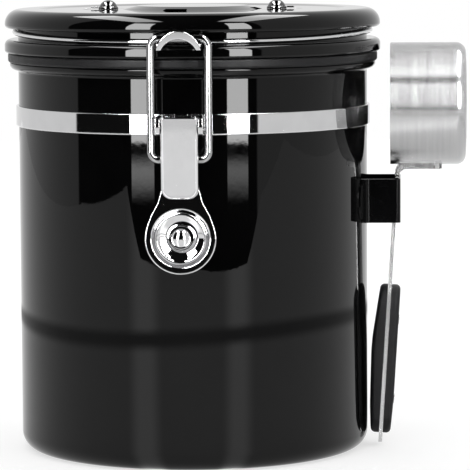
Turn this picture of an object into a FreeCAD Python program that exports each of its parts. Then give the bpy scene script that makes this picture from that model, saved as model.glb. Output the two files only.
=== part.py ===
import FreeCAD, Part
import math
import os
from FreeCAD import Vector

# Coffee canister: a steel can with a hinged lid, an over-centre clasp, a one-way valve,
# two date dials and a scoop that hangs in a clip.
# Millimetres, +Z up, origin at the centre of the base. Clasp at -Y, hinge at +Y, scoop at +X.

# Can
can_radius = 60.0
can_wall = 0.8
can_height = 133.5
can_base = 1.2
can_corner = 6.0
base_groove_radius = 46.0
base_groove_width = 3.0
base_groove_depth = 0.5
rim_reach = 2.9
rim_depth = 2.5
rim_round = 1.0

# Band round the can, measured down from the rim
band_drop = 14.8
band_width = 6.9
band_thickness = 0.9
band_round = 0.3
band_gap = 4.0

# Lid
gasket_height = 3.4
gasket_reach = 3.5
gasket_round = 0.9
flange_reach = 4.6
flange_height = 4.5
flange_round = 2.0
flange_edge = 0.8
groove_height = 3.8
groove_depth = 4.6
cap_reach = 4.5
cap_height = 6.4
cap_shoulder = 5.0
cap_lip = 1.3
dish_radius = 50.0
dish_slope = 3.0
dish_depth = 0.3
dish_round = 2.0
lid_wall = 1.6
skirt_gap = 3.2
skirt_wall = 1.6
skirt_depth = 8.0
ring_wire = 1.9
ring_gap = 0.05
ring_lift = 0.2

# Clasp
pivot_reach = 7.1
pivot_pin = 2.0
ear_radius = 3.2
ear_thickness = 1.5
ear_gap = 0.15
bracket_sheet = 0.8
lever_width = 12.2
lever_sheet = 0.8
lever_front = 2.9
lever_top = 3.1
lever_back = 3.4
lever_neck = 20.5
lever_neck_round = 6.0
lever_flare = 1.3
lever_edge = 1.0
lever_lean = 3.5
lever_end = 1.6
lever_end_round = 3.5
lever_pad = 6.0
disc_drop = 36.9
disc_radius = 11.7
disc_level = 0.9
disc_tilt = 4.5
disc_rim = 0.5
disc_round = 0.25
bowl_radius = 9.6
bowl_lip = 0.3
bowl_wall_radius = 8.3
bowl_wall = 2.4
bowl_round = 4.0
bowl_floor_radius = 4.3
bowl_floor = 3.9
bowl_sheet = 1.2
wing_angle = 38.0
wing_reach = 0.6
wing_round = 6.0
wing_end_angle = 20.0
ball_radius = 4.1
ball_rise = 0.6
bail_wire = 2.6
bail_width = 18.8
bail_corner = 2.6
bail_drop = 11.0
bail_inset = 1.1
bail_gap = 0.5
bail_lift = 0.9

# Catch on the lid's ring wire
catch_sheet = 0.9
catch_width = 14.4
catch_arm = 1.4
catch_room = 2.1
catch_seat = 0.3
catch_lip = 4.2
catch_lean = 12.0
catch_crown = 2.55
catch_tail = 1.1
weld_gap = 0.1

# Hinge
hinge_reach = 9.5
hinge_pin = 2.4
hinge_sheet = 0.9
hinge_width = 18.0
hinge_middle = 10.0
hinge_gap = 0.3
hinge_slope = 7.0

# Valve in the middle of the lid
valve_cover_radius = 24.0
valve_cover_top_radius = 18.9
valve_cover_height = 1.2
valve_cover_ceiling = 0.6
valve_vents = 4
vent_turn = -11.0
vent_angle = 20.0
valve_barrel = 8.8
valve_wall = 1.2
valve_flange = 13.0
valve_flange_thickness = 1.8
valve_seat = 1.0
valve_filter_thickness = 0.55
valve_holes = 6
valve_hole = 1.6
valve_hole_circle = 3.6
flap_radius = 6.6
flap_thickness = 0.7

# Date dials
dial_place = 29.0
dial_base_radius = 3.4
dial_base_height = 0.8
dial_dome_radius = 3.3
dial_height = 3.1
dial_stem = 3.0
dial_stem_end = 1.3
pointer_reach = 6.0
pointer_root = 2.0
pointer_tip = 0.5
pointer_thickness = 0.5
dial_nut_radius = 3.2
dial_nut_thickness = 0.6

# Clip on the can's side
clip_reach = 11.5
clip_sheet = 0.6
clip_width = 22.0
clip_height = 15.0
clip_bend = 1.6
clip_foot = 6.7
clip_foot_round = 6.0
clip_foot_bend = 2.0
clip_drop = 18.5

# Scoop, hung in the clip with its strap leaning back to the can
scoop_floor_gap = 1.1
lift_room = 22.4
strap_width = 10.0
strap_thickness = 1.3
strap_lean = 3.6
strap_gap = 0.1
strap_bend = 3.0
strap_end_round = 3.5
tab_rise = 3.0
tab_end = 14.8
cup_radius = 20.95
cup_depth = 25.9
cup_wall = 0.6
cup_corner = 3.4
cup_set_back = 2.8
grip_start = 3.2
grip_width = 16.0
grip_corner = 7.0
grip_edge = 1.6
grip_outer_thickness = 3.1
grip_outer_end = 2.6
grip_outer_low_part = 0.75
grip_inner_top = 2.5
grip_inner_middle = 4.45
grip_inner_middle_part = 0.4
grip_inner_low = 3.7
grip_inner_low_part = 0.8
grip_inner_end = 2.8
rivet = 3.2
rivet_inset = 12.0
rivet_sink = 1.0
rivet_head = 0.2

# Running fits
pin_fit = 0.05
face_fit = 0.05

# Levels and radii that several pieces share
rim_radius = can_radius + rim_reach
can_inside = can_radius - can_wall
band_top = can_height - band_drop
band_bottom = band_top - band_width
band_radius = can_radius + band_thickness
flange_bottom = can_height + gasket_height
flange_top = flange_bottom + flange_height
flange_radius = can_radius + flange_reach
groove_radius = flange_radius - groove_depth
cap_bottom = flange_top + groove_height
cap_top = cap_bottom + cap_height
cap_radius = can_radius + cap_reach
dish_floor = cap_top - dish_depth
lid_underside = dish_floor - lid_wall
skirt_radius = can_inside - skirt_gap
ring_radius = groove_radius + ring_gap + ring_wire / 2
ring_height = flange_top + ring_lift + ring_wire / 2
ring_weld = ring_height + ring_wire / 2 + weld_gap
pivot_place = band_radius + pivot_reach
pivot_height = band_bottom + band_width / 2
ear_inside = lever_width / 2 + ear_gap
ear_outside = ear_inside + ear_thickness
bail_foot_place = pivot_place - bail_inset
bail_foot_height = pivot_height - bail_drop
bar_place = flange_radius + bail_gap + bail_wire / 2
bar_height = flange_top + bail_lift + bail_wire / 2
disc_height = pivot_height - disc_drop
knuckle_radius = hinge_pin / 2 + pin_fit + hinge_sheet
hinge_place = can_radius + hinge_reach
hinge_height = ring_weld + hinge_sheet - knuckle_radius
clip_top = band_bottom - clip_drop
clip_outside = can_radius + clip_reach
clip_inside = clip_outside - clip_sheet
grip_top = clip_top - clip_height - lift_room
grip_length = grip_top - scoop_floor_gap - grip_start
rivet_levels = (rivet_inset, grip_length - rivet_inset)

X = Vector(1, 0, 0)
Y = Vector(0, 1, 0)
Z = Vector(0, 0, 1)


# Drawing helpers

def on_xz(x, z):
    return Vector(x, 0, z)


def on_xy(x, y):
    return Vector(x, y, 0)


def on_rear(reach, z):
    return Vector(0, reach, z)


def on_front(reach, z):
    return Vector(0, -reach, z)


def outline(corners, place):
    """A flat face from corners (a, b) or (a, b, radius), which place puts on its plane."""
    count = len(corners)
    flat = [Vector(corner[0], corner[1], 0) for corner in corners]
    stretches = []
    for i, corner in enumerate(corners):
        here = flat[i]
        if len(corner) < 3:
            stretches.append((here, here, here))
            continue
        back = (flat[i - 1] - here).normalize()
        ahead = (flat[(i + 1) % count] - here).normalize()
        half = back.getAngle(ahead) / 2
        middle = (back + ahead).normalize()
        reach = corner[2] / math.tan(half)
        crown = corner[2] / math.sin(half) - corner[2]
        stretches.append((here + back * reach, here + middle * crown, here + ahead * reach))
    edges = []
    for i, (start, crown, end) in enumerate(stretches):
        if not start.isEqual(end, 1e-6):
            points = [place(p.x, p.y) for p in (start, crown, end)]
            edges.append(Part.Arc(*points).toShape())
        following = stretches[(i + 1) % count][0]
        if not end.isEqual(following, 1e-6):
            edges.append(Part.makeLine(place(end.x, end.y), place(following.x, following.y)))
    return Part.Face(Part.Wire(edges))


def turned(corners):
    """A solid turned about the can's axis from its outline in radius and height."""
    return outline(corners, on_xz).revolve(Vector(), Z, 360)


def slab(corners, place, along, low, high):
    """An outline pushed along a direction, from low to high."""
    face = outline(corners, place)
    face.translate(along * low)
    return face.extrude(along * (high - low))


def rod(radius, start, end):
    return Part.makeCylinder(radius, (end - start).Length, start, end - start)


def cross_rod(radius, half_length, place, height):
    """A rod along X, centred on the can's middle plane."""
    return rod(radius, Vector(-half_length, place, height), Vector(half_length, place, height))


def block(low, high):
    return Part.makeBox(high.x - low.x, high.y - low.y, high.z - low.z, low)


def both_sides(shape):
    """A shape and its mirror image across the middle plane, as a list."""
    return [shape, shape.mirror(Vector(), X)]


def band_pad(sheet, half_width, side):
    """The curved foot of a bracket on the band, at the front (-1) or the rear (1)."""
    margin = band_round
    low = band_bottom + margin
    high = band_top - margin
    ring = turned([
        (band_radius + face_fit, low),
        (band_radius + sheet, low),
        (band_radius + sheet, high),
        (band_radius + face_fit, high),
    ])
    far = side * (band_radius + 2 * sheet)
    cutter = block(Vector(-half_width, min(0, far), low), Vector(half_width, max(0, far), high))
    return ring.common(cutter)


# Can

def make_can_body():
    groove_in = base_groove_radius - base_groove_width / 2
    groove_out = base_groove_radius + base_groove_width / 2
    return turned([
        (0, 0),
        (groove_in, 0),
        (groove_in + base_groove_depth, base_groove_depth),
        (groove_out - base_groove_depth, base_groove_depth),
        (groove_out, 0),
        (can_radius, 0, can_corner),
        (can_radius, can_height - rim_depth, rim_reach / 2),
        (rim_radius, can_height - rim_depth, rim_round),
        (rim_radius, can_height, rim_round),
        (can_inside, can_height),
        (can_inside, can_base, can_corner - can_wall),
        (0, can_base),
    ])


def make_band():
    ring = turned([
        (can_radius, band_bottom),
        (band_radius, band_bottom, band_round),
        (band_radius, band_top, band_round),
        (can_radius, band_top),
    ])
    split = block(
        Vector(-band_gap / 2, -band_radius - 1, band_bottom),
        Vector(band_gap / 2, 0, band_top),
    )
    return ring.cut(split)


# Clasp

def make_clasp_bracket():
    pad = band_pad(bracket_sheet, ear_outside, -1)
    arm = block(
        Vector(ear_inside, -pivot_place, pivot_height - ear_radius),
        Vector(ear_outside, 0, pivot_height + ear_radius),
    )
    eye = rod(
        ear_radius,
        Vector(ear_inside, -pivot_place, pivot_height),
        Vector(ear_outside, -pivot_place, pivot_height),
    )
    core = Part.makeCylinder(band_radius, can_height)
    ear = arm.fuse(eye).cut(core)
    bracket = pad.fuse(both_sides(ear)).removeSplitter()
    hole = cross_rod(pivot_pin / 2, ear_outside + 1, -pivot_place, pivot_height)
    return bracket.cut(hole)


def make_clasp_pin():
    return cross_rod(pivot_pin / 2, ear_outside, -pivot_place, pivot_height)


def on_lever(outward, up):
    """The lever's own side view: out from its pivot, and up from it."""
    return Vector(0, -pivot_place - outward, pivot_height + up)


def lever_front_view(x, up):
    return Vector(x, 0, pivot_height + up)


def on_disc(radius, outward):
    return Vector(radius, -pivot_place - outward, disc_height)


def round_the_disc(radius, degrees):
    """A corner of the lever's front view, at an angle above the round end's middle."""
    angle = math.radians(degrees)
    return radius * math.cos(angle), radius * math.sin(angle) - disc_drop


def make_lever_plate():
    """The lever's raised face: a strip with round edges, solid at its lower end, where the neck joins it."""
    half = lever_width / 2
    end = disc_radius - disc_drop + lever_end
    back = disc_level - (disc_radius + lever_end + lever_pad) * math.tan(math.radians(disc_tilt))
    front = -pivot_place - lever_front
    strip = slab(
        [
            (half, lever_top),
            (half, end, lever_end_round),
            (-half, end, lever_end_round),
            (-half, lever_top),
        ],
        lever_front_view, Y, front, -pivot_place - back,
    )
    top = pivot_height + lever_top
    round_edges = []
    for edge in strip.Edges:
        box = edge.BoundBox
        if box.YMax < front + pin_fit and box.ZMin < top - pin_fit:
            round_edges.append(edge)
    hollow = block(
        Vector(lever_sheet - half, front + lever_sheet, pivot_height + end + lever_pad),
        Vector(half - lever_sheet, -can_radius, top + lever_sheet),
    )
    return strip.makeFillet(lever_edge, round_edges).cut(hollow)


def make_lever_neck():
    """The flat sheet that flares from behind the plate's end into the round end."""
    half = lever_width / 2
    disc_edge = disc_radius - disc_drop
    right = [
        (half, disc_edge + lever_end + lever_pad),
        (half, -lever_neck, lever_neck_round),
        (half + lever_flare, disc_edge, lever_sheet / 2),
        (*round_the_disc(disc_radius + wing_reach, wing_angle), wing_round),
        round_the_disc(disc_radius, wing_end_angle),
        (disc_radius * math.cos(math.radians(wing_end_angle)), -disc_drop),
    ]
    left = [(-corner[0], *corner[1:]) for corner in reversed(right)]
    front = -pivot_place - disc_level
    sheet = slab(right + left, lever_front_view, Y, front, front + lever_sheet)
    return sheet.cut(rod(disc_radius - disc_rim, on_disc(0, disc_level - lever_sheet), on_disc(0, disc_level)))


def make_lever_disc():
    """The round end: a flat rim round a pressed bowl with a ball in its middle."""
    rim_back = disc_level - lever_sheet
    wall = disc_level - bowl_wall
    floor = disc_level - bowl_floor
    bowl = outline(
        [
            (0, floor),
            (bowl_floor_radius, floor),
            (bowl_wall_radius, wall, bowl_round),
            (bowl_radius, disc_level, bowl_lip),
            (disc_radius, disc_level, disc_round),
            (disc_radius, rim_back, disc_round),
            (bowl_radius + lever_sheet / 4, rim_back),
            (bowl_wall_radius, wall - bowl_sheet, bowl_round),
            (bowl_floor_radius, floor - bowl_sheet),
            (0, floor - bowl_sheet),
        ],
        on_disc,
    ).revolve(Vector(0, 0, disc_height), Y, 360)
    ball = Part.makeSphere(ball_radius, on_disc(0, disc_level + ball_rise - ball_radius))
    ball_room = rod(ball_radius, on_disc(0, floor - bowl_sheet / 2), on_disc(0, disc_level + ball_radius))
    return bowl.fuse(ball.common(ball_room))


def make_clasp_lever():
    """A channel that leans back from its pivot, with its round end turned upright again."""
    half = lever_width / 2
    flange = slab(
        [
            (lever_front, lever_top),
            (lever_front, -lever_neck),
            (lever_front - 2 * lever_sheet, -lever_neck),
            (-lever_back, -bail_drop - bail_wire, bail_wire),
            (-lever_back, lever_top, bail_wire),
        ],
        on_lever, X, half - lever_sheet, half,
    )
    low = pivot_height - lever_neck
    high = pivot_height + lever_top
    front = -pivot_place - lever_front
    edge_block = block(
        Vector(half - lever_edge, front, low),
        Vector(half, front + lever_edge, high),
    )
    edge_round = rod(
        lever_edge,
        Vector(half - lever_edge, front + lever_edge, low),
        Vector(half - lever_edge, front + lever_edge, high),
    )
    flange = flange.cut(edge_block.cut(edge_round))
    round_end = make_lever_neck().fuse(make_lever_disc())
    round_end = round_end.rotated(on_disc(0, disc_level), X, -disc_tilt)
    lever = make_lever_plate().fuse(both_sides(flange) + [round_end])
    lever = lever.rotated(Vector(0, -pivot_place, pivot_height), X, lever_lean)
    pin_hole = cross_rod(pivot_pin / 2 + pin_fit, lever_width, -pivot_place, pivot_height)
    bail_hole = cross_rod(bail_wire / 2 + pin_fit, lever_width, -bail_foot_place, bail_foot_height)
    return lever.cut([pin_hole, bail_hole]).removeSplitter()


def make_clasp_bail():
    """One bent wire: both ends sit in the lever, and the top bar lies in the catch."""
    side = bail_width / 2
    tip = lever_width / 2 - 1.5 * lever_sheet
    foot = Vector(0, -bail_foot_place, bail_foot_height)
    rise = Vector(0, -bar_place, bar_height) - foot
    length = rise.Length
    rise.normalize()
    bend = bail_corner * (1 - math.sqrt(0.5))

    def at(x, up):
        return foot + X * x + rise * up

    points = [at(tip, 0), at(side - bail_corner, 0)]
    corner = at(side - bend, bend)
    end = at(side, bail_corner)
    right = [
        Part.makeLine(points[0], points[1]),
        Part.Arc(points[1], corner, end).toShape(),
        Part.makeLine(end, at(side, length - bail_corner)),
        Part.Arc(
            at(side, length - bail_corner),
            at(side - bend, length - bend),
            at(side - bail_corner, length),
        ).toShape(),
    ]
    top = Part.makeLine(at(side - bail_corner, length), at(bail_corner - side, length))
    left = [edge.mirror(Vector(), X) for edge in right]
    path = Part.Wire(Part.__sortEdges__(right + [top] + left))
    section = Part.Wire(Part.makeCircle(bail_wire / 2, points[0], X))
    return path.makePipeShell([section], True, False)


# Lid

def make_lid_shell():
    shell = turned([
        (0, dish_floor),
        (dish_radius, dish_floor, dish_round),
        (dish_radius + dish_slope, cap_top, dish_round),
        (cap_radius, cap_top, cap_shoulder),
        (cap_radius, cap_bottom, cap_lip),
        (groove_radius, cap_bottom),
        (groove_radius, flange_top),
        (flange_radius, flange_top, flange_round),
        (flange_radius, flange_bottom, flange_edge),
        (skirt_radius, flange_bottom),
        (skirt_radius, flange_bottom - skirt_depth, skirt_wall / 4),
        (skirt_radius - skirt_wall, flange_bottom - skirt_depth, skirt_wall / 4),
        (skirt_radius - skirt_wall, flange_bottom + lid_wall),
        (groove_radius - lid_wall, flange_bottom + lid_wall),
        (groove_radius - lid_wall, lid_underside, 2 * lid_wall),
        (0, lid_underside),
    ])
    below = Vector(0, 0, lid_underside - 1)
    above = Vector(0, 0, cap_top + 1)
    holes = [rod(valve_barrel + pin_fit, below, above)]
    for side in (-1, 1):
        middle = X * (side * dial_place)
        holes.append(rod(dial_stem / 2 + pin_fit, middle + below, middle + above))
    return shell.cut(holes)


def make_lid_gasket():
    inside = skirt_radius + pin_fit
    outside = can_radius + gasket_reach
    return turned([
        (inside, can_height),
        (outside, can_height, gasket_round),
        (outside, flange_bottom, gasket_round),
        (inside, flange_bottom),
    ])


def make_ring_wire():
    return Part.makeTorus(ring_radius, ring_wire / 2, Vector(0, 0, ring_height))


def arch(half_width, foot, crown, low, high):
    """A round-topped front shape, from low to high in reach towards the front."""
    rise = crown - foot
    radius = (half_width ** 2 + rise ** 2) / (2 * rise)
    return rod(radius, Vector(0, -low, crown - radius), Vector(0, -high, crown - radius))


def make_front_catch():
    """A folded plate on the ring wire: two arms pass under the bail's bar and join in an arched lip."""
    half = catch_width / 2
    seat = bar_height - bail_wire / 2 - catch_seat
    under = seat - catch_sheet
    lip = bar_place + bail_wire / 2 + catch_room
    lip_front = lip + catch_sheet
    lip_top = seat + catch_lip
    lip_foot = under - catch_tail
    root = ring_radius - ring_wire / 4
    turn = ring_radius + ring_wire / 3
    dip = flange_radius + catch_seat

    def leaned(reach, z):
        return reach + (z - under) * math.tan(math.radians(catch_lean)), z

    plate = slab(
        [
            (root, ring_weld),
            (turn, ring_weld),
            (dip, under),
            (lip, under),
            leaned(lip, lip_foot),
            leaned(lip_front, lip_foot),
            leaned(lip_front, lip_top),
            leaned(lip, lip_top),
            leaned(lip, seat),
            (dip + catch_sheet / 2, seat),
            (turn + catch_sheet / 2, ring_weld + catch_sheet),
            (root, ring_weld + catch_sheet),
        ],
        on_front, X, -half, half,
    )
    far = leaned(lip_front, lip_top)[0] + 1
    window = arch(half - catch_arm, lip_foot, lip_top - catch_crown, turn + catch_sheet, far)
    lip_zone = block(
        Vector(-half - 1, -far, lip_foot - 1),
        Vector(half + 1, -lip + catch_sheet / 2, lip_top + 1),
    )
    crown = arch(half, lip_foot, lip_top, lip - catch_sheet, far)
    return plate.cut(window).cut(lip_zone.cut(crown))


# Hinge

def make_hinge_leaf():
    """The lid's half of the hinge, welded on the ring wire and rolled round the pin."""
    half = hinge_middle / 2
    root = ring_radius - ring_wire / 4
    strip = slab(
        [
            (root, ring_weld),
            (hinge_place, ring_weld),
            (hinge_place, ring_weld + hinge_sheet),
            (root, ring_weld + hinge_sheet),
        ],
        on_rear, X, -half, half,
    )
    knuckle = cross_rod(knuckle_radius, half, hinge_place, hinge_height)
    hole = cross_rod(hinge_pin / 2 + pin_fit, half + 1, hinge_place, hinge_height)
    return strip.fuse(knuckle).cut(hole).removeSplitter()


def make_hinge_bracket():
    """The can's half of the hinge: a pad on the band, a cranked plate and two knuckles."""
    half = hinge_width / 2
    pad = band_pad(hinge_sheet, half, 1)
    near = band_radius + face_fit
    far = hinge_place - knuckle_radius
    plate = slab(
        [
            (near, band_bottom + band_round),
            (near + hinge_sheet, band_bottom + band_round),
            (near + hinge_sheet, band_top, hinge_sheet),
            (far + hinge_sheet, band_top + hinge_slope, hinge_sheet),
            (far + hinge_sheet, hinge_height),
            (far, hinge_height),
            (far, band_top + hinge_slope + hinge_sheet / 2, hinge_sheet),
            (near, band_top + hinge_sheet / 2, hinge_sheet),
        ],
        on_rear, X, -half, half,
    )
    notch_half = hinge_middle / 2 + hinge_gap
    notch = block(
        Vector(-notch_half, far - 1, hinge_height - knuckle_radius - hinge_gap),
        Vector(notch_half, hinge_place + 2 * knuckle_radius, hinge_height + 2 * knuckle_radius),
    )
    knuckle = rod(
        knuckle_radius,
        Vector(notch_half, hinge_place, hinge_height),
        Vector(half, hinge_place, hinge_height),
    )
    bracket = pad.fuse([plate.cut(notch)] + both_sides(knuckle))
    hole = cross_rod(hinge_pin / 2, half + 1, hinge_place, hinge_height)
    return bracket.cut(hole).removeSplitter()


def make_hinge_pin():
    return cross_rod(hinge_pin / 2, hinge_width / 2, hinge_place, hinge_height)


# Valve

def make_valve_cover():
    top = dish_floor + valve_cover_height
    inside = valve_barrel + pin_fit
    cover = turned([
        (0, top - valve_cover_ceiling),
        (inside, top - valve_cover_ceiling),
        (inside, dish_floor),
        (valve_cover_radius, dish_floor),
        (valve_cover_top_radius, top, valve_cover_height / 3),
        (0, top),
    ])
    reach = valve_cover_radius + 1
    half = reach * math.tan(math.radians(vent_angle / 2))
    vent = slab(
        [(0, 0), (-half, -reach), (half, -reach)],
        on_xy, Z, dish_floor, top - valve_cover_ceiling,
    )
    vents = []
    for i in range(valve_vents):
        turn = vent_turn + 360 * i / valve_vents
        vents.append(vent.rotated(Vector(), Z, turn))
    return cover.cut(vents)


valve_flange_bottom = lid_underside - valve_flange_thickness
valve_seat_top = valve_flange_bottom + valve_filter_thickness + valve_seat


def make_valve_body():
    inside = valve_barrel - valve_wall
    seat_bottom = valve_seat_top - valve_seat
    body = turned([
        (0, seat_bottom),
        (inside, seat_bottom),
        (inside, valve_flange_bottom),
        (valve_flange, valve_flange_bottom, valve_flange_thickness / 4),
        (valve_flange, lid_underside),
        (valve_barrel, lid_underside),
        (valve_barrel, dish_floor),
        (inside, dish_floor),
        (inside, valve_seat_top),
        (0, valve_seat_top),
    ])
    holes = []
    for i in range(valve_holes):
        angle = 2 * math.pi * i / valve_holes
        middle = Vector(math.cos(angle), math.sin(angle), 0) * valve_hole_circle
        holes.append(rod(valve_hole / 2, middle + Z * (seat_bottom - 1), middle + Z * (valve_seat_top + 1)))
    return body.cut(holes)


def make_valve_flap():
    return rod(flap_radius, Z * valve_seat_top, Z * (valve_seat_top + flap_thickness))


def make_valve_filter():
    radius = valve_barrel - valve_wall - face_fit
    return rod(radius, Z * valve_flange_bottom, Z * (valve_flange_bottom + valve_filter_thickness))


# Date dials

def make_dial_knob(side):
    """A domed knob with a pointer that points away from the valve, on a stem through the lid."""
    base_bottom = dish_floor + face_fit
    base_top = base_bottom + dial_base_height
    top = dish_floor + dial_height
    base = outline(
        [
            (0, base_bottom),
            (dial_base_radius, base_bottom),
            (dial_base_radius, base_top, dial_base_height / 2),
            (0, base_top),
        ],
        on_xz,
    ).revolve(Vector(), Z, 360)
    dome = Part.makeSphere(dial_dome_radius, Z * (top - dial_dome_radius))
    upper = block(
        Vector(-dial_base_radius, -dial_base_radius, base_top - dial_base_height / 4),
        Vector(dial_base_radius, dial_base_radius, top),
    )
    stem = rod(dial_stem / 2, Z * (lid_underside - dial_stem_end), Z * base_top)
    pointer = slab(
        [
            (0, -pointer_root / 2),
            (pointer_reach, -pointer_tip / 2),
            (pointer_reach, pointer_tip / 2),
            (0, pointer_root / 2),
        ],
        on_xy, Z, base_top - pointer_thickness, base_top,
    )
    knob = base.fuse([dome.common(upper), stem, pointer]).removeSplitter()
    if side < 0:
        knob = knob.rotated(Vector(), Z, 180)
    knob.translate(X * (side * dial_place))
    return knob


def make_dial_nut(side):
    top = lid_underside - face_fit
    middle = X * (side * dial_place)
    nut = rod(dial_nut_radius, middle + Z * (top - dial_nut_thickness), middle + Z * top)
    return nut.cut(rod(dial_stem / 2, middle, middle + Z * cap_top))


# Clip for the scoop

def make_scoop_clip():
    """A strip bent into a square loop, with two rounded feet that lie on the can."""
    half = clip_width / 2
    bottom = clip_top - clip_height

    def loop(outside, side, corner):
        return slab(
            [(0, -side), (outside, -side, corner), (outside, side, corner), (0, side)],
            on_xy, Z, bottom, clip_top,
        )

    can = Part.makeCylinder(can_radius, can_height)
    walls = loop(clip_outside, half, clip_bend)
    walls = walls.cut(loop(clip_inside, half - clip_sheet, clip_bend - clip_sheet)).cut(can)
    ring = Part.makeCylinder(can_radius + clip_sheet, clip_height, Z * bottom).cut(can)
    foot = slab(
        [
            (half - clip_sheet, bottom),
            (half + clip_foot, bottom, clip_foot_round),
            (half + clip_foot, clip_top, clip_foot_round),
            (half - clip_sheet, clip_top),
        ],
        on_rear, X, 0, clip_outside,
    )
    feet = [ring.common(foot), ring.common(foot.mirror(Vector(), Y))]
    clip = walls.fuse(feet).removeSplitter()
    bends = []
    for edge in clip.Edges:
        middle = edge.BoundBox.Center
        upright = abs(edge.BoundBox.ZLength - clip_height) < face_fit
        if upright and abs(abs(middle.y) - half) < face_fit and middle.x < can_radius + clip_sheet:
            bends.append(edge)
    return clip.makeFillet(clip_foot_bend, bends)


# Scoop

strap_slope = math.tan(math.radians(strap_lean))
strap_across = strap_thickness / math.cos(math.radians(strap_lean))
strap_top_place = clip_inside - strap_gap
tab_bottom = clip_top + tab_rise
cup_height = tab_bottom + strap_thickness + cup_radius
cup_mouth = strap_top_place - cup_set_back
cup_axis = Vector(0, 0, cup_height)


def strap_face(z):
    """How far out the strap's outer face stands at a height."""
    return strap_top_place - (clip_top - z) * strap_slope


def make_scoop_cup():
    floor = cup_mouth + cup_depth

    def on_cup(reach, radius):
        return Vector(reach, 0, cup_height + radius)

    return outline(
        [
            (cup_mouth, cup_radius),
            (floor, cup_radius, cup_corner),
            (floor, 0),
            (floor - cup_wall, 0),
            (floor - cup_wall, cup_radius - cup_wall, cup_corner - cup_wall),
            (cup_mouth, cup_radius - cup_wall),
        ],
        on_cup,
    ).revolve(cup_axis, X, 360)


def rivet_rod(level, start, end):
    """A rod square to the strap at a distance below the grip's top, from start to end across it."""
    return rod(rivet / 2, on_grip(start, level), on_grip(end, level))


def make_scoop_strap():
    half = strap_width / 2
    tab_top = tab_bottom + 2 * strap_thickness
    end = strap_top_place + tab_end
    section = [
        (end, tab_bottom),
        (strap_face(tab_bottom), tab_bottom, strap_bend),
        (strap_face(scoop_floor_gap), scoop_floor_gap),
        (strap_face(scoop_floor_gap) - strap_across, scoop_floor_gap),
        (strap_face(tab_top) - strap_across, tab_top, strap_bend + strap_thickness),
        (end, tab_top),
    ]
    strap = slab(section, on_xz, Y, -half, half)
    cup_room = rod(cup_radius + face_fit, cup_axis, cup_axis + X * 2 * end)
    over_cup = rod(
        cup_radius + tab_rise,
        cup_axis + X * cup_mouth,
        cup_axis + X * 2 * end,
    )
    past_end = block(
        Vector(0, -strap_width, scoop_floor_gap - 1),
        Vector(end + 1, strap_width, scoop_floor_gap + strap_end_round),
    )
    end_shape = slab(
        [
            (-half, scoop_floor_gap, strap_end_round),
            (half, scoop_floor_gap, strap_end_round),
            (half, 2 * strap_end_round),
            (-half, 2 * strap_end_round),
        ],
        on_rear, X, 0, end + 1,
    )
    strap = strap.cut([cup_room.common(over_cup), past_end.cut(end_shape)])
    return strap.cut([rivet_rod(level, -rivet, rivet) for level in rivet_levels])


def on_grip(across, down):
    """The strap's own side view: across from its middle, and down from the grip's top."""
    lean = math.radians(strap_lean)
    middle = strap_face(grip_top) - strap_across / 2
    x = middle + across * math.cos(lean) - down * math.sin(lean)
    z = grip_top - across * math.sin(lean) - down * math.cos(lean)
    return Vector(x, 0, z)


def grip_half(section, side):
    """One half of the grip from its side view, rounded in plan and along its outer edge."""
    half = grip_width / 2
    lean = math.radians(strap_lean)
    outward = Vector(math.cos(lean), 0, -math.sin(lean))

    def on_plan(y, down):
        return on_grip(0, down) + Y * y

    plan = slab(
        [
            (-half, 0, grip_corner),
            (half, 0, grip_corner),
            (half, grip_length, grip_corner),
            (-half, grip_length, grip_corner),
        ],
        on_plan, outward, -grip_width, grip_width,
    )
    piece = slab(section, on_grip, Y, -half, half).common(plan)
    inner_face = strap_thickness / 2
    rounded = []
    for edge in piece.Edges:
        offsets = [(v.Point - on_grip(0, 0)).dot(outward) * side for v in edge.Vertexes]
        seam = edge.BoundBox.YLength > grip_width - grip_corner
        if min(offsets) > inner_face + face_fit and not seam:
            rounded.append(edge)
    piece = piece.makeFillet(grip_edge, rounded)
    return piece.cut([rivet_rod(level, -grip_width, grip_width) for level in rivet_levels])


def make_grip_outer():
    near = strap_thickness / 2
    return grip_half(
        [
            (near, 0),
            (near + grip_outer_thickness, 0),
            (near + grip_outer_thickness, grip_length * grip_outer_low_part, grip_length / 2),
            (near + grip_outer_end, grip_length),
            (near, grip_length),
        ],
        1,
    )


def make_grip_inner():
    near = -strap_thickness / 2
    return grip_half(
        [
            (near, 0),
            (near - grip_inner_top, 0),
            (near - grip_inner_middle, grip_length * grip_inner_middle_part, grip_length),
            (near - grip_inner_low, grip_length * grip_inner_low_part, grip_length),
            (near - grip_inner_end, grip_length),
            (near, grip_length),
        ],
        -1,
    )


def make_grip_rivets():
    inner = -strap_thickness / 2 - grip_inner_top + rivet_sink
    outer = strap_thickness / 2 + grip_outer_thickness + rivet_head
    return Part.makeCompound([rivet_rod(level, inner, outer) for level in rivet_levels])


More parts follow.
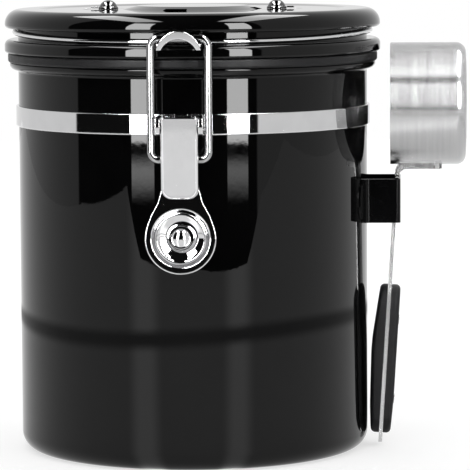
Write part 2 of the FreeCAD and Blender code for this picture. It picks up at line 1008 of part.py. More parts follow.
pieces = {
    "can_body": make_can_body(),
    "band": make_band(),
    "clasp_bracket": make_clasp_bracket(),
    "clasp_pin": make_clasp_pin(),
    "clasp_lever": make_clasp_lever(),
    "clasp_bail": make_clasp_bail(),
    "lid_shell": make_lid_shell(),
    "lid_gasket": make_lid_gasket(),
    "ring_wire": make_ring_wire(),
    "front_catch": make_front_catch(),
    "hinge_leaf": make_hinge_leaf(),
    "hinge_bracket": make_hinge_bracket(),
    "hinge_pin": make_hinge_pin(),
    "valve_cover": make_valve_cover(),
    "valve_body": make_valve_body(),
    "valve_flap": make_valve_flap(),
    "valve_filter": make_valve_filter(),
    "day_knob": make_dial_knob(-1),
    "day_knob_nut": make_dial_nut(-1),
    "month_knob": make_dial_knob(1),
    "month_knob_nut": make_dial_nut(1),
    "scoop_clip": make_scoop_clip(),
    "scoop_cup": make_scoop_cup(),
    "scoop_strap": make_scoop_strap(),
    "grip_inner": make_grip_inner(),
    "grip_outer": make_grip_outer(),
    "grip_rivets": make_grip_rivets(),
}

os.makedirs("parts", exist_ok=True)
for name, shape in pieces.items():
    shape.exportStep(f"parts/{name}.step")
    print(name, "solids", len(shape.Solids), "volume", round(shape.Volume, 1), "valid", shape.isValid())
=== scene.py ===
import math

import bmesh
import bpy
from mathutils import Matrix, Vector


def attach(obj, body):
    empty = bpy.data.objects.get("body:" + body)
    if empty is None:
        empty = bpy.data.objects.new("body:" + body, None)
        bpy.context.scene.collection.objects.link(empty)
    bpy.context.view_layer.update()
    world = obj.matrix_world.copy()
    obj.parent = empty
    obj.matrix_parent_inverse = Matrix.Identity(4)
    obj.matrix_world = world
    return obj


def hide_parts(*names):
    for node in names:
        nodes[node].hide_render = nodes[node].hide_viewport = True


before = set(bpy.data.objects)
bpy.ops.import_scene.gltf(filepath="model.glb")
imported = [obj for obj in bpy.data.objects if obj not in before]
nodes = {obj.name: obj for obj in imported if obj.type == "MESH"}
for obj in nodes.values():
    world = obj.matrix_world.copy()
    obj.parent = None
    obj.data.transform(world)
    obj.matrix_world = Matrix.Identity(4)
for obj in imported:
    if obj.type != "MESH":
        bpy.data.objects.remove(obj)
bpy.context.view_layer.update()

# Coffee canister: looks, studio and camera round the CAD frame. Metres, +Z up, clasp at -Y.

MM = 0.001

# Camera: where it stands round the can's axis, and what it looks at
CAMERA_TURN = math.radians(3.8)
CAMERA_DISTANCE = 1.1316
CAMERA_HEIGHT = 0.1856
CAMERA_PITCH = math.radians(5.685)
CAMERA_ROLL = math.radians(-0.33)
CAMERA_LENS = 251.4
AIM_RIGHT = 0.01421

# Studio, as mirrors see it: sides in degrees to the right of the camera, heights in degrees above level.
# The walls are white, with a dark opening towards the camera and a dark ceiling.
WALL_LEVEL = 0.9
DARK_SIDES = (-80.8, 42)
DARK_HEIGHTS = (-9.8, 83)
DARK_SOFT = 0.8
DARK_LEVEL = 0.007
CEILING_HEIGHT = 60
CEILING_SOFT = 2

# Two soft boxes in the dark opening, each with a glow below it. A fade is the softness of the lower edge.
BOX_SIDES = [(-40.7, -25.5), (22, 35.8)]
BOX_HEIGHTS = (-4.1, 39.5)
BOX_SOFT = 0.3
BOX_FADE = 0.05
BOX_LEVEL = 25
GLOW_HEIGHTS = (-4.9, -4.42)
GLOW_SOFT = 0.17
GLOW_FADE = 0.31
GLOW_LEVELS = [7.7, 5.3]

# Two long lights overhead: their sides, and their front and back ends, per metre of height. The least rise
# of a ray keeps this finite at the horizon.
OVERHEAD_SIDES = [(-0.62, -0.3), (0.25, 0.58)]
OVERHEAD_SIDE_SOFT = 0.015
OVERHEAD_ENDS = (-0.66, 0.62)
OVERHEAD_END_SOFT = 0.03
OVERHEAD_LEVEL = 16
LEAST_RISE = 0.001

# Studio, as matte surfaces see it: the same from everywhere, and more from above
PLAIN_LEVEL = 0.5
PLAIN_TOP = 1.2

# Floor: its corners to the right of the can and behind it, its tones, and the lift that makes it white
FLOOR_CORNERS = [
    (-1.0, 1.5),
    (-1.0, -0.25),
    (-0.8, -0.86),
    (-0.4, -0.6),
    (0.0, -0.68),
    (0.38, -0.58),
    (0.75, -0.8),
    (1.4, -0.8),
    (1.4, 1.5),
]
FLOOR_DARK = (0.39, 0.39, 0.39)
FLOOR_LIGHT = (0.41, 0.41, 0.41)
FLOOR_LIFT = 0.65

# Painted shine: the soft boxes' reflection on the floor, painted into its glow for mirrors: how far before
# the can's axis it starts, its soft edge in degrees
SHINE_START = 0.0335
SHINE_SOFT = 5
SHINE_LEVEL = 1.0

# Dark ring painted into the floor's glow where mirrors see it: how far right of the can its middle is, then
# its inner and outer edge
DARK_RING_RIGHT = 0.018
DARK_RING_EDGES = (0.372, 0.426)
DARK_RING_SOFT = 0.02

# Sizes of the turned and bent pieces in millimetres, as in the CAD
CAN_RADIUS = 60.0
CAN_HEIGHT = 133.5
CAN_WALL = 0.8
CAN_FLOOR = 1.2
CAN_CORNER = 6.0
BASE_GROOVE_RADIUS = 46.0
BASE_GROOVE_WIDTH = 3.0
BASE_GROOVE_DEPTH = 0.5
RIM_RADIUS = 62.9
RIM_BOTTOM = 131.0
BAND_BOTTOM = 111.8
BAND_TOP = 118.7
BAND_RADIUS = 60.9
BAND_GAP = 4.0
GASKET_INSIDE = 56.05
GASKET_RADIUS = 63.5
FLANGE_RADIUS = 64.6
FLANGE_BOTTOM = 136.9
FLANGE_TOP = 141.4
GROOVE_RADIUS = 60.0
CAP_RADIUS = 64.5
CAP_BOTTOM = 145.2
CAP_TOP = 151.6
DISH_FLOOR = 151.3
DISH_RADIUS = 50.0
DISH_SLOPE = 3.0
LID_WALL = 1.6
SKIRT_RADIUS = 56.0
SKIRT_BOTTOM = 128.9
VALVE_HOLE = 8.85
RING_RADIUS = 61.0
RING_HEIGHT = 142.55
RING_WIRE = 0.95
BAIL_FOOT = Vector((0, -66.9, 104.25))
BAIL_BAR = Vector((0, -66.4, 143.6))
BAIL_SIDE = 9.4
BAIL_CORNER = 2.6
BAIL_TIP = 4.9
BAIL_WIRE = 1.3
CUP_HEIGHT = 118.55
CUP_RADIUS = 20.95
CUP_MOUTH = 68.0
CUP_END = 93.9
CUP_WALL = 0.6
CUP_CORNER = 3.4
DIAL_PLACE = 29.0

# Radii of their rounded edges, in millimetres
RIM_FILLET = 0.95
RIM_ROUND = 1.9
RIM_EDGE = 0.5
BAND_EDGE = 0.3
GASKET_EDGE = 0.9
FLANGE_ROUND = 2.0
FLANGE_EDGE = 0.8
CAP_ROUND = 5.0
CAP_EDGE = 1.3
CAP_INSIDE = 3.2
DISH_ROUND = 2.0
SKIRT_EDGE = 0.4
CATCH_EDGE = 1.2

# Bend of the ring wire and print on the lid, in millimetres, which only the scene has
RING_BEND = 1.6
RING_DIP = 0.2
SCALE_RADIUS = 8.0
SCALE_SWEEP = math.radians(236)
FIGURE_SIZE = 2.0
TICK_LENGTH = 0.9
TICK_WIDTH = 0.16
PRINT_THICKNESS = 0.02

# Edges that bend more than this are drawn sharp, and those of the catch are rounded
NODE_SHARP = math.radians(30)
PIECE_SHARP = math.radians(35)
CATCH_SHARP = math.radians(40)

# The part of a noise's values that is stretched over a range
NOISE_LOW = 0.3
NOISE_HIGH = 0.7


# Mesh helpers

def even_normals(piece):
    """Keeps flat faces flat in the shading where they run into a round edge."""
    even = piece.modifiers.new("even_normals", "WEIGHTED_NORMAL")
    even.keep_sharp = True


def finish_mesh(name, shape, body, material, replaced=()):
    """Puts a bmesh in the scene as a piece of a body, smooth apart from its sharp edges."""
    bmesh.ops.recalc_face_normals(shape, faces=shape.faces)
    mesh = bpy.data.meshes.new(name)
    shape.to_mesh(mesh)
    shape.free()
    mesh.shade_smooth()
    mesh.set_sharp_from_angle(angle=PIECE_SHARP)
    mesh.materials.append(material)
    piece = bpy.data.objects.new(name, mesh)
    bpy.context.scene.collection.objects.link(piece)
    even_normals(piece)
    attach(piece, body)
    if replaced:
        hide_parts(*replaced)


def full_turn(steps):
    """Angles in even steps, once round."""
    return [2 * math.pi * k / steps for k in range(steps)]


def rounded(corners, steps=8):
    """Points along a closed outline whose corners are (a, b) or (a, b, radius)."""
    flat = [Vector(corner[:2]) for corner in corners]
    points = []
    for i, corner in enumerate(corners):
        here = flat[i]
        if len(corner) < 3:
            points.append(here)
            continue
        back = (flat[i - 1] - here).normalized()
        ahead = (flat[(i + 1) % len(flat)] - here).normalized()
        half = back.angle(ahead) / 2
        centre = here + (back + ahead).normalized() * (corner[2] / math.sin(half))
        reach = corner[2] / math.tan(half)
        start = here + back * reach - centre
        end = here + ahead * reach - centre
        sweep = start.angle_signed(end)
        for k in range(steps + 1):
            turn = Matrix.Rotation(-sweep * k / steps, 2)
            points.append(centre + turn @ start)
    return points


def lathe(points, place, segments=256):
    """A shape turned from a closed outline of (radius, along) points, each put in place by place()."""
    shape = bmesh.new()
    rings = []
    for point in points:
        on_axis = point.x < 1e-7
        if on_axis:
            rings.append([shape.verts.new(place(0, point.y, 0))])
        else:
            rings.append([shape.verts.new(place(point.x, point.y, angle)) for angle in full_turn(segments)])
    for i, ring in enumerate(rings):
        other = rings[(i + 1) % len(rings)]
        if len(ring) == 1 and len(other) == 1:
            continue
        for k in range(segments):
            following = (k + 1) % segments
            if len(ring) == 1:
                shape.faces.new((ring[0], other[k], other[following]))
            elif len(other) == 1:
                shape.faces.new((ring[k], other[0], ring[following]))
            else:
                shape.faces.new((ring[k], other[k], other[following], ring[following]))
    return shape


def about_z(radius, along, angle):
    """Places a lathe point round the can's own axis."""
    return Vector((radius * math.cos(angle), radius * math.sin(angle), along)) * MM


def about_cup(radius, along, angle):
    """Places a lathe point round the lying axis of the scoop's cup."""
    return Vector((along, radius * math.cos(angle), CUP_HEIGHT + radius * math.sin(angle))) * MM


def about_ring(radius, along, angle):
    """Places a lathe point of the ring wire, which rises at the sides and dips a little elsewhere."""
    return about_z(radius, along + RING_BEND * math.cos(angle) ** 4 - RING_DIP, angle)


def swept(rings):
    """A tube with closed ends through rings that all have the same count of points."""
    shape = bmesh.new()
    made = [[shape.verts.new(point) for point in ring] for ring in rings]
    for ring, other in zip(made, made[1:]):
        for k in range(len(ring)):
            following = (k + 1) % len(ring)
            shape.faces.new((ring[k], other[k], other[following], ring[following]))
    shape.faces.new(made[0])
    shape.faces.new(made[-1])
    return shape


# Materials

def new_material(name):
    """A material, its node tree and its main shader."""
    material = bpy.data.materials.new(name)
    material.use_nodes = True
    shader = material.node_tree.nodes["Principled BSDF"]
    return material, material.node_tree, shader


def noise(tree, scale, detail, stretch=None):
    """A noise texture in the piece's own metres, stretched along an axis if asked."""
    coordinates = tree.nodes.new("ShaderNodeTexCoord")
    texture = tree.nodes.new("ShaderNodeTexNoise")
    texture.inputs["Scale"].default_value = scale
    texture.inputs["Detail"].default_value = detail
    source = coordinates.outputs["Object"]
    if stretch:
        mapping = tree.nodes.new("ShaderNodeMapping")
        mapping.inputs["Scale"].default_value = stretch
        tree.links.new(source, mapping.inputs["Vector"])
        source = mapping.outputs["Vector"]
    tree.links.new(source, texture.inputs["Vector"])
    return texture.outputs["Fac"]


def spread(tree, value, low, high):
    """Maps a noise value to a range."""
    node = tree.nodes.new("ShaderNodeMapRange")
    node.inputs["From Min"].default_value = NOISE_LOW
    node.inputs["From Max"].default_value = NOISE_HIGH
    node.inputs["To Min"].default_value = low
    node.inputs["To Max"].default_value = high
    tree.links.new(value, node.inputs["Value"])
    return node.outputs["Result"]


def tint(tree, value, dark, light):
    """Maps a noise value to a colour between two."""
    ramp = tree.nodes.new("ShaderNodeValToRGB")
    ramp.color_ramp.elements[0].position = NOISE_LOW
    ramp.color_ramp.elements[1].position = NOISE_HIGH
    ramp.color_ramp.elements[0].color = (*dark, 1)
    ramp.color_ramp.elements[1].color = (*light, 1)
    tree.links.new(value, ramp.inputs["Fac"])
    return ramp.outputs["Color"]


def bump(tree, shader, value, strength, distance, round_edge=None):
    """Adds a bump, and shades sharp edges as if they were rounded if asked."""
    node = tree.nodes.new("ShaderNodeBump")
    if round_edge:
        edge = tree.nodes.new("ShaderNodeBevel")
        edge.samples = 8
        edge.inputs["Radius"].default_value = round_edge
        tree.links.new(edge.outputs["Normal"], node.inputs["Normal"])
    node.inputs["Strength"].default_value = strength
    node.inputs["Distance"].default_value = distance
    tree.links.new(value, node.inputs["Height"])
    tree.links.new(node.outputs["Normal"], shader.inputs["Normal"])


def coat(tree, shader, colour, roughness):
    """Links a colour and a roughness to the shader."""
    tree.links.new(colour, shader.inputs["Base Color"])
    tree.links.new(roughness, shader.inputs["Roughness"])


def gloss_black(name, specular):
    """Black enamel: a deep colour under a hard gloss, with a trace of orange peel and dust."""
    material, tree, shader = new_material(name)
    shader.inputs["Specular IOR Level"].default_value = specular
    colour = tint(tree, noise(tree, scale=90, detail=4), (0.002, 0.002, 0.0021), (0.003, 0.003, 0.0031))
    roughness = spread(tree, noise(tree, scale=240, detail=5), 0.008, 0.02)
    coat(tree, shader, colour, roughness)
    bump(tree, shader, noise(tree, scale=420, detail=2), strength=0.01, distance=0.0001)
    return material


def chrome(name, tone):
    """Polished plating with faint clouding and polishing marks."""
    material, tree, shader = new_material(name)
    shader.inputs["Metallic"].default_value = 1.0
    light = (tone, tone, tone * 1.01)
    dark = (tone * 0.95, tone * 0.95, tone * 0.96)
    colour = tint(tree, noise(tree, scale=160, detail=4), dark, light)
    roughness = spread(tree, noise(tree, scale=380, detail=5), 0.02, 0.05)
    coat(tree, shader, colour, roughness)
    marks = noise(tree, scale=500, detail=2)
    bump(tree, shader, marks, strength=0.01, distance=0.00004, round_edge=0.0005)
    return material


def brushed_steel(name, stretch, tone, smooth, rough, round_axis=None):
    """Steel with fine brush lines along one direction, or round an axis."""
    material, tree, shader = new_material(name)
    shader.inputs["Metallic"].default_value = 1.0
    light = (tone * 1.03, tone * 1.03, tone * 1.03)
    dark = (tone * 0.95, tone * 0.95, tone * 0.96)
    lines = noise(tree, scale=1500, detail=4, stretch=stretch)
    roughness = spread(tree, noise(tree, scale=900, detail=4, stretch=stretch), smooth, rough)
    coat(tree, shader, tint(tree, lines, dark, light), roughness)
    bump(tree, shader, lines, strength=0.006, distance=0.00004)
    if round_axis:
        shader.inputs["Anisotropic"].default_value = 0.75
        shader.inputs["Anisotropic Rotation"].default_value = 0.25
        tangent = tree.nodes.new("ShaderNodeTangent")
        tangent.direction_type = "RADIAL"
        tangent.axis = round_axis
        tree.links.new(tangent.outputs["Tangent"], shader.inputs["Tangent"])
    return material


def grained(name, colour, smooth, rough, grain, strength, specular=0.5):
    """Rubber, plastic, felt or print: a colour with light patches, under a fine grain."""
    material, tree, shader = new_material(name)
    shader.inputs["Specular IOR Level"].default_value = specular
    light = tuple(1.5 * part for part in colour)
    patches = tint(tree, noise(tree, scale=140, detail=4), colour, light)
    roughness = spread(tree, noise(tree, scale=300, detail=4), smooth, rough)
    coat(tree, shader, patches, roughness)
    bump(tree, shader, noise(tree, scale=grain, detail=3), strength, distance=0.0001)
    return material


enamel = gloss_black("enamel_black", specular=0.2)
lid_gloss = gloss_black("lid_black", specular=0.22)
plating = chrome("chrome_plating", tone=0.6)
# The bail's wire: a darker copy of the chrome plating, with painted shade that tones down its highlights and
# edges
shaded_wire_plating = chrome("chrome_wire_painted_shade", tone=0.32)
dark_plating = chrome("dark_chrome", tone=0.12)
steel_turned = brushed_steel(
    "steel_brushed_cup", stretch=(1, 0.02, 0.02), tone=0.45, smooth=0.23, rough=0.26, round_axis="X",
)
steel_plain = brushed_steel(
    "steel_brushed_strip", stretch=(1, 1, 0.04), tone=0.62, smooth=0.2, rough=0.3,
)
silicone = grained(
    "silicone_black", (0.006, 0.006, 0.0065), smooth=0.38, rough=0.5, grain=1400, strength=0.1, specular=0.2,
)
grip_black = grained(
    "grip_black", (0.006, 0.006, 0.0065), smooth=0.52, rough=0.64, grain=1800, strength=0.15, specular=0.16,
)
clip_black = grained(
    "clip_satin_black", (0.002, 0.002, 0.0022), smooth=0.12, rough=0.17, grain=1200, strength=0.04,
    specular=0.1,
)
valve_black = grained(
    "valve_plastic", (0.02, 0.02, 0.02), smooth=0.45, rough=0.55, grain=1500, strength=0.1,
)
felt_white = grained(
    "filter_felt", (0.5, 0.5, 0.48), smooth=0.85, rough=0.95, grain=2600, strength=0.5,
)
print_white = grained(
    "print_white", (0.45, 0.45, 0.45), smooth=0.4, rough=0.5, grain=1500, strength=0.05,
)


# CAD pieces: their materials, and softer edges for the catch

def dress(piece, material):
    """Gives a CAD piece its material and smooth shading."""
    piece.data.materials.clear()
    piece.data.materials.append(material)
    piece.data.shade_smooth()
    piece.data.set_sharp_from_angle(angle=NODE_SHARP)
    even_normals(piece)


for material, names in [
    (enamel, ["can_body"]),
    (lid_gloss, ["lid_shell", "valve_cover"]),
    (plating, ["band", "clasp_bracket", "clasp_pin", "clasp_lever", "ring_wire", "front_catch"]),
    (plating, ["hinge_leaf", "hinge_bracket", "hinge_pin"]),
    (shaded_wire_plating, ["clasp_bail"]),
    (dark_plating, ["day_knob", "month_knob"]),
    (silicone, ["lid_gasket", "valve_flap"]),
    (valve_black, ["valve_body"]),
    (felt_white, ["valve_filter"]),
    (clip_black, ["scoop_clip"]),
    (steel_turned, ["scoop_cup"]),
    (steel_plain, ["scoop_strap", "grip_rivets", "day_knob_nut", "month_knob_nut"]),
    (grip_black, ["grip_inner", "grip_outer"]),
]:
    for name in names:
        dress(nodes[name], material)

catch_edges = nodes["front_catch"].modifiers.new("soft_edges", "BEVEL")
catch_edges.width = CATCH_EDGE * MM
catch_edges.segments = 6
catch_edges.limit_method = "ANGLE"
catch_edges.angle_limit = CATCH_SHARP
nodes["front_catch"].modifiers.move(1, 0)


# Turned pieces, finer than the CAD meshes so that their reflections run clean

base_groove_inside = BASE_GROOVE_RADIUS - BASE_GROOVE_WIDTH / 2
base_groove_outside = BASE_GROOVE_RADIUS + BASE_GROOVE_WIDTH / 2
finish_mesh("can_shell", lathe(rounded([
    (0, 0),
    (base_groove_inside, 0),
    (base_groove_inside + BASE_GROOVE_DEPTH, BASE_GROOVE_DEPTH),
    (base_groove_outside - BASE_GROOVE_DEPTH, BASE_GROOVE_DEPTH),
    (base_groove_outside, 0),
    (CAN_RADIUS, 0, CAN_CORNER),
    (CAN_RADIUS, RIM_BOTTOM, RIM_FILLET),
    (RIM_RADIUS, RIM_BOTTOM, RIM_ROUND),
    (RIM_RADIUS, CAN_HEIGHT, RIM_EDGE),
    (CAN_RADIUS - CAN_WALL, CAN_HEIGHT),
    (CAN_RADIUS - CAN_WALL, CAN_FLOOR, CAN_CORNER - CAN_WALL),
    (0, CAN_FLOOR),
]), about_z), "can", enamel, ["can_body"])

finish_mesh("lid_cap", lathe(rounded([
    (VALVE_HOLE, DISH_FLOOR),
    (DISH_RADIUS, DISH_FLOOR, DISH_ROUND),
    (DISH_RADIUS + DISH_SLOPE, CAP_TOP, DISH_ROUND),
    (CAP_RADIUS, CAP_TOP, CAP_ROUND),
    (CAP_RADIUS, CAP_BOTTOM, CAP_EDGE),
    (GROOVE_RADIUS, CAP_BOTTOM),
    (GROOVE_RADIUS, FLANGE_TOP),
    (FLANGE_RADIUS, FLANGE_TOP, FLANGE_ROUND),
    (FLANGE_RADIUS, FLANGE_BOTTOM, FLANGE_EDGE),
    (SKIRT_RADIUS, FLANGE_BOTTOM),
    (SKIRT_RADIUS, SKIRT_BOTTOM, SKIRT_EDGE),
    (SKIRT_RADIUS - LID_WALL, SKIRT_BOTTOM, SKIRT_EDGE),
    (SKIRT_RADIUS - LID_WALL, FLANGE_BOTTOM + LID_WALL),
    (GROOVE_RADIUS - LID_WALL, FLANGE_BOTTOM + LID_WALL),
    (GROOVE_RADIUS - LID_WALL, DISH_FLOOR - LID_WALL, CAP_INSIDE),
    (VALVE_HOLE, DISH_FLOOR - LID_WALL),
], steps=16), about_z), "lid", lid_gloss, ["lid_shell"])

finish_mesh("gasket_ring", lathe(rounded([
    (GASKET_INSIDE, CAN_HEIGHT),
    (GASKET_RADIUS, CAN_HEIGHT, GASKET_EDGE),
    (GASKET_RADIUS, FLANGE_BOTTOM, GASKET_EDGE),
    (GASKET_INSIDE, FLANGE_BOTTOM),
]), about_z), "lid", silicone, ["lid_gasket"])

ring_section = [
    Vector((RING_RADIUS + RING_WIRE * math.cos(angle), RING_HEIGHT + RING_WIRE * math.sin(angle)))
    for angle in full_turn(24)
]
finish_mesh("ring", lathe(ring_section, about_ring), "lid", plating, ["ring_wire"])

finish_mesh("cup_shell", lathe(rounded([
    (CUP_RADIUS, CUP_MOUTH),
    (CUP_RADIUS, CUP_END, CUP_CORNER),
    (0, CUP_END),
    (0, CUP_END - CUP_WALL),
    (CUP_RADIUS - CUP_WALL, CUP_END - CUP_WALL, CUP_CORNER - CUP_WALL),
    (CUP_RADIUS - CUP_WALL, CUP_MOUTH),
]), about_cup), "scoop", steel_turned, ["scoop_cup"])


# Band and bail: a strip and a wire swept along their paths

def band_rings(steps=256):
    """Sections of the band, from one side of the gap behind the clasp round to the other."""
    half_gap = math.asin(BAND_GAP / 2 / BAND_RADIUS)
    section = rounded([
        (CAN_RADIUS, BAND_BOTTOM),
        (BAND_RADIUS, BAND_BOTTOM, BAND_EDGE),
        (BAND_RADIUS, BAND_TOP, BAND_EDGE),
        (CAN_RADIUS, BAND_TOP),
    ])
    rings = []
    for k in range(steps + 1):
        angle = -math.pi / 2 + half_gap + (2 * math.pi - 2 * half_gap) * k / steps
        rings.append([about_z(point.x, point.y, angle) for point in section])
    return rings


def bail_path(length, bend_steps=12):
    """The bail's middle line, flat: across and up from its foot, from one inward end to the other."""
    path = [Vector((BAIL_TIP, 0))]
    for centre_up, start in ((BAIL_CORNER, -90), (length - BAIL_CORNER, 0)):
        for k in range(bend_steps + 1):
            angle = math.radians(start + 90 * k / bend_steps)
            side = BAIL_SIDE - BAIL_CORNER + BAIL_CORNER * math.cos(angle)
            path.append(Vector((side, centre_up + BAIL_CORNER * math.sin(angle))))
    return path + [Vector((-point.x, point.y)) for point in reversed(path)]


def bail_rings(around=32):
    """Sections of the bail's wire along its path, which leans with the bail."""
    rise = BAIL_BAR - BAIL_FOOT
    path = bail_path(rise.length)
    rise.normalize()
    outward = rise.cross(Vector((1, 0, 0)))
    rings = []
    for i, point in enumerate(path):
        along = (path[min(i + 1, len(path) - 1)] - path[max(i - 1, 0)]).normalized()
        across = Vector((along.y, 0, 0)) - rise * along.x
        middle = BAIL_FOOT + Vector((point.x, 0, 0)) + rise * point.y
        rings.append([
            (middle + (across * math.cos(angle) + outward * math.sin(angle)) * BAIL_WIRE) * MM
            for angle in full_turn(around)
        ])
    return rings


finish_mesh("band_strip", swept(band_rings()), "can", plating, ["band"])
finish_mesh("bail_wire", swept(bail_rings()), "clasp_bail", shaded_wire_plating, ["clasp_bail"])


# Scales printed round the two dials: days on the left, months on the right

def add_figure(shape, figure, place):
    """Adds the outline of a number, as thick as print, to a bmesh."""
    curve = bpy.data.curves.new("figure", "FONT")
    curve.body = figure
    curve.size = FIGURE_SIZE * MM
    curve.extrude = PRINT_THICKNESS / 2 * MM
    curve.align_x = "CENTER"
    curve.align_y = "CENTER"
    writer = bpy.data.objects.new("figure", curve)
    bpy.context.scene.collection.objects.link(writer)
    bpy.context.view_layer.update()
    written = writer.evaluated_get(bpy.context.evaluated_depsgraph_get())
    drawn = bpy.data.meshes.new_from_object(written)
    drawn.transform(place)
    shape.from_mesh(drawn)
    bpy.data.meshes.remove(drawn)
    bpy.data.objects.remove(writer)
    bpy.data.curves.remove(curve)


def dial_scale(name, side, count, figures):
    """Prints figures for a dial on the lid, and ticks between them, on the side away from the valve."""
    shape = bmesh.new()
    centre = Matrix.Translation(Vector((side * DIAL_PLACE, 0, DISH_FLOOR)) * MM)
    outward = 0 if side > 0 else math.pi
    upright = Matrix.Rotation(-math.pi / 2, 4, "Z")
    tick = Matrix.Diagonal((TICK_LENGTH * MM, TICK_WIDTH * MM, PRINT_THICKNESS * MM, 1))
    for mark in range(1, count + 1):
        angle = outward + SCALE_SWEEP * (0.5 - (mark - 1) / (count - 1))
        turned = centre @ Matrix.Rotation(angle, 4, "Z")
        place = turned @ Matrix.Translation((SCALE_RADIUS * MM, 0, 0))
        if mark in figures:
            add_figure(shape, str(mark), place @ upright)
        else:
            bmesh.ops.create_cube(shape, matrix=place @ tick)
    finish_mesh(name, shape, "lid", print_white)


dial_scale("day_scale", side=-1, count=31, figures=(1, 5, 10, 15, 20, 25, 31))
dial_scale("month_scale", side=1, count=12, figures=range(1, 13))


# Node helpers for the studio

def feed(tree, socket, value):
    """Sets a socket to a number, or links it to another node's output."""
    if isinstance(value, (int, float)):
        socket.default_value = value
    else:
        tree.links.new(value, socket)


def maths(tree, operation, *values):
    """A maths node fed with numbers or outputs."""
    node = tree.nodes.new("ShaderNodeMath")
    node.operation = operation
    for socket, value in zip(node.inputs, values):
        feed(tree, socket, value)
    return node.outputs["Value"]


def plus(tree, first, second):
    """The sum of two values."""
    return maths(tree, "ADD", first, second)


def times(tree, first, second):
    """The product of two values."""
    return maths(tree, "MULTIPLY", first, second)


def inverse(tree, value):
    """1 where a value is 0, and 0 where it is 1."""
    return maths(tree, "SUBTRACT", 1.0, value)


def step(tree, value, start, stop):
    """Rises smoothly from 0 to 1 between two values."""
    node = tree.nodes.new("ShaderNodeMapRange")
    node.interpolation_type = "SMOOTHSTEP"
    node.inputs["From Min"].default_value = start
    node.inputs["From Max"].default_value = stop
    tree.links.new(value, node.inputs["Value"])
    return node.outputs["Result"]


def window(tree, value, start, stop, fade, soft):
    """1 between two values and 0 outside, with a fade at the start and a soft edge at the stop."""
    opening = step(tree, value, start - fade, start + fade)
    closing = inverse(tree, step(tree, value, stop - soft, stop + soft))
    return times(tree, opening, closing)


def mixed(tree, chooser, otherwise, chosen):
    """One of two strengths, by what kind of ray it is."""
    node = tree.nodes.new("ShaderNodeMix")
    node.data_type = "FLOAT"
    tree.links.new(chooser, node.inputs["Factor"])
    for socket, value in zip(node.inputs[2:4], (otherwise, chosen)):
        feed(tree, socket, value)
    return node.outputs["Result"]


def split(tree, vector):
    """The three outputs of a vector: right, back and up."""
    parts = tree.nodes.new("ShaderNodeSeparateXYZ")
    tree.links.new(vector, parts.inputs["Vector"])
    return parts.outputs


def side_degrees(tree, right, front):
    """The angle to the right of the camera, seen from the can."""
    return times(tree, maths(tree, "ARCTAN2", right, front), math.degrees(1))


# Studio

def mirrored_level(tree, right, back, up):
    """Brightness as mirrors see it: white walls, soft boxes in a dark opening, and lights overhead."""
    side_angle = side_degrees(tree, right, times(tree, back, -1.0))
    rise_angle = times(tree, maths(tree, "ARCSINE", up), math.degrees(1))

    def panel(sides, heights, fade, soft):
        across = window(tree, side_angle, *sides, soft, soft)
        upright = window(tree, rise_angle, *heights, fade, soft)
        return times(tree, across, upright)

    outside = inverse(tree, panel(DARK_SIDES, DARK_HEIGHTS, DARK_SOFT, DARK_SOFT))
    ceiling = step(tree, rise_angle, CEILING_HEIGHT - CEILING_SOFT, CEILING_HEIGHT + CEILING_SOFT)
    wall = times(tree, outside, inverse(tree, ceiling))
    level = plus(tree, times(tree, wall, WALL_LEVEL), DARK_LEVEL)
    for sides, glow_level in zip(BOX_SIDES, GLOW_LEVELS):
        box = panel(sides, BOX_HEIGHTS, BOX_FADE, BOX_SOFT)
        glow = panel(sides, GLOW_HEIGHTS, GLOW_FADE, GLOW_SOFT)
        level = plus(tree, level, times(tree, box, BOX_LEVEL))
        level = plus(tree, level, times(tree, glow, glow_level))

    above_level = maths(tree, "MAXIMUM", up, LEAST_RISE)
    back_slope = maths(tree, "DIVIDE", back, above_level)
    side_slope = maths(tree, "DIVIDE", right, above_level)
    along = window(tree, back_slope, *OVERHEAD_ENDS, OVERHEAD_END_SOFT, OVERHEAD_END_SOFT)
    for sides in OVERHEAD_SIDES:
        across = window(tree, side_slope, *sides, OVERHEAD_SIDE_SOFT, OVERHEAD_SIDE_SOFT)
        level = plus(tree, level, times(tree, times(tree, along, across), OVERHEAD_LEVEL))
    return level


def plain_level(tree, up):
    """Brightness as matte surfaces see it."""
    above = maths(tree, "MAXIMUM", up, 0.0)
    return plus(tree, times(tree, times(tree, above, above), PLAIN_TOP), PLAIN_LEVEL)


def studio_world():
    """Lights the object with the studio, and is plain white to the camera."""
    world = bpy.data.worlds.new("studio")
    bpy.context.scene.world = world
    world.use_nodes = True
    world.cycles.sampling_method = "NONE"
    tree = world.node_tree
    tree.nodes.clear()
    coordinates = tree.nodes.new("ShaderNodeTexCoord")
    turn = tree.nodes.new("ShaderNodeVectorRotate")
    turn.rotation_type = "Z_AXIS"
    turn.inputs["Angle"].default_value = -CAMERA_TURN
    tree.links.new(coordinates.outputs["Generated"], turn.inputs["Vector"])
    right, back, up = split(tree, turn.outputs["Vector"])
    light_path = tree.nodes.new("ShaderNodeLightPath")
    mirrored = mirrored_level(tree, right, back, up)
    strength = mixed(tree, light_path.outputs["Is Diffuse Ray"], mirrored, plain_level(tree, up))
    strength = mixed(tree, light_path.outputs["Is Camera Ray"], strength, 1.0)
    background = tree.nodes.new("ShaderNodeBackground")
    background.inputs["Color"].default_value = (1, 1, 1, 1)
    tree.links.new(strength, background.inputs["Strength"])
    output = tree.nodes.new("ShaderNodeOutputWorld")
    tree.links.new(background.outputs["Background"], output.inputs["Surface"])


def floor_shine(tree, right, back):
    """Painted reflection of the soft boxes on the floor, as the can mirrors them: wedges that open towards
    the camera.
    """
    side_angle = side_degrees(tree, right, maths(tree, "SUBTRACT", -SHINE_START, back))
    wedges = [window(tree, side_angle, *sides, SHINE_SOFT, SHINE_SOFT) for sides in BOX_SIDES]
    return times(tree, plus(tree, *wedges), SHINE_LEVEL)


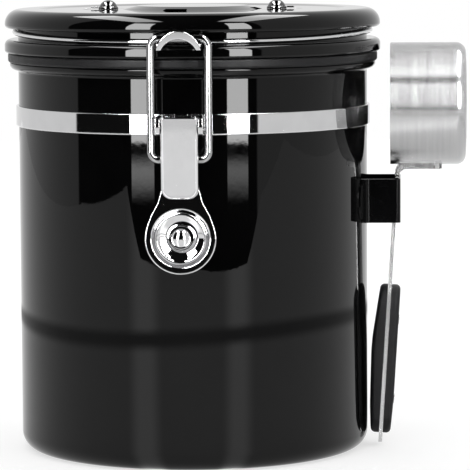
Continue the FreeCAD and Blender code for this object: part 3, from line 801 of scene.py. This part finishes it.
def floor_seam(tree, right, back):
    """Where the painted dark ring lies on the floor: 1 there and 0 elsewhere."""
    aside = maths(tree, "SUBTRACT", right, DARK_RING_RIGHT)
    squares = plus(tree, times(tree, aside, aside), times(tree, back, back))
    return window(tree, maths(tree, "SQRT", squares), *DARK_RING_EDGES, DARK_RING_SOFT, DARK_RING_SOFT)


def floor_lift(tree):
    """Lifts the floor to white where it is seen or mirrored. Only mirrors see its painted shine and its
    painted dark ring.
    """
    light_path = tree.nodes.new("ShaderNodeLightPath")
    coordinates = tree.nodes.new("ShaderNodeTexCoord")
    right, back = split(tree, coordinates.outputs["Object"])[:2]
    mirrored = light_path.outputs["Is Glossy Ray"]
    seen = maths(tree, "MAXIMUM", light_path.outputs["Is Camera Ray"], mirrored)
    seen = maths(tree, "MAXIMUM", seen, light_path.outputs["Is Transmission Ray"])
    # Painted reflection of the soft boxes, which only mirrors see
    shine = times(tree, mirrored, floor_shine(tree, right, back))
    # Painted dark ring in the floor's glow, which only mirrors see
    dark_ring = times(tree, mirrored, floor_seam(tree, right, back))
    lift = plus(tree, times(tree, seen, FLOOR_LIFT), shine)
    return times(tree, lift, inverse(tree, dark_ring))


def white_floor():
    """A white table that ends in front of the object."""
    shape = bmesh.new()
    shape.faces.new([shape.verts.new((x, y, 0)) for x, y in FLOOR_CORNERS])
    bmesh.ops.recalc_face_normals(shape, faces=shape.faces)
    mesh = bpy.data.meshes.new("floor")
    shape.to_mesh(mesh)
    shape.free()
    floor = bpy.data.objects.new("floor", mesh)
    floor.rotation_euler.z = CAMERA_TURN
    bpy.context.scene.collection.objects.link(floor)
    material, tree, shader = new_material("floor_white")
    colour = tint(tree, noise(tree, scale=30, detail=3), FLOOR_DARK, FLOOR_LIGHT)
    tree.links.new(colour, shader.inputs["Base Color"])
    shader.inputs["Roughness"].default_value = 0.9
    shader.inputs["Specular IOR Level"].default_value = 0.0
    shader.inputs["Emission Color"].default_value = (1, 1, 1, 1)
    tree.links.new(floor_lift(tree), shader.inputs["Emission Strength"])
    mesh.materials.append(material)


studio_world()
white_floor()


# Camera

def place_camera():
    """Stands the camera in front of the clasp, a little to the right, looking slightly down."""
    camera_data = bpy.data.cameras.new("camera")
    camera_data.lens = CAMERA_LENS
    camera_data.sensor_width = 36.0
    camera_data.clip_end = 20.0
    camera = bpy.data.objects.new("camera", camera_data)
    bpy.context.scene.collection.objects.link(camera)
    aside = Vector((math.cos(CAMERA_TURN), math.sin(CAMERA_TURN), 0))
    ahead = Vector((-math.sin(CAMERA_TURN), math.cos(CAMERA_TURN), 0))
    place = ahead * -CAMERA_DISTANCE + Vector((0, 0, CAMERA_HEIGHT))
    target = aside * AIM_RIGHT + Vector((0, 0, CAMERA_HEIGHT - CAMERA_DISTANCE * math.tan(CAMERA_PITCH)))
    look = (target - place).to_track_quat("-Z", "Y")
    camera.location = place
    camera.rotation_mode = "QUATERNION"
    camera.rotation_quaternion = look @ Matrix.Rotation(CAMERA_ROLL, 3, "Z").to_quaternion()
    bpy.context.scene.camera = camera


place_camera()
bpy.context.scene.view_settings.view_transform = "Standard"
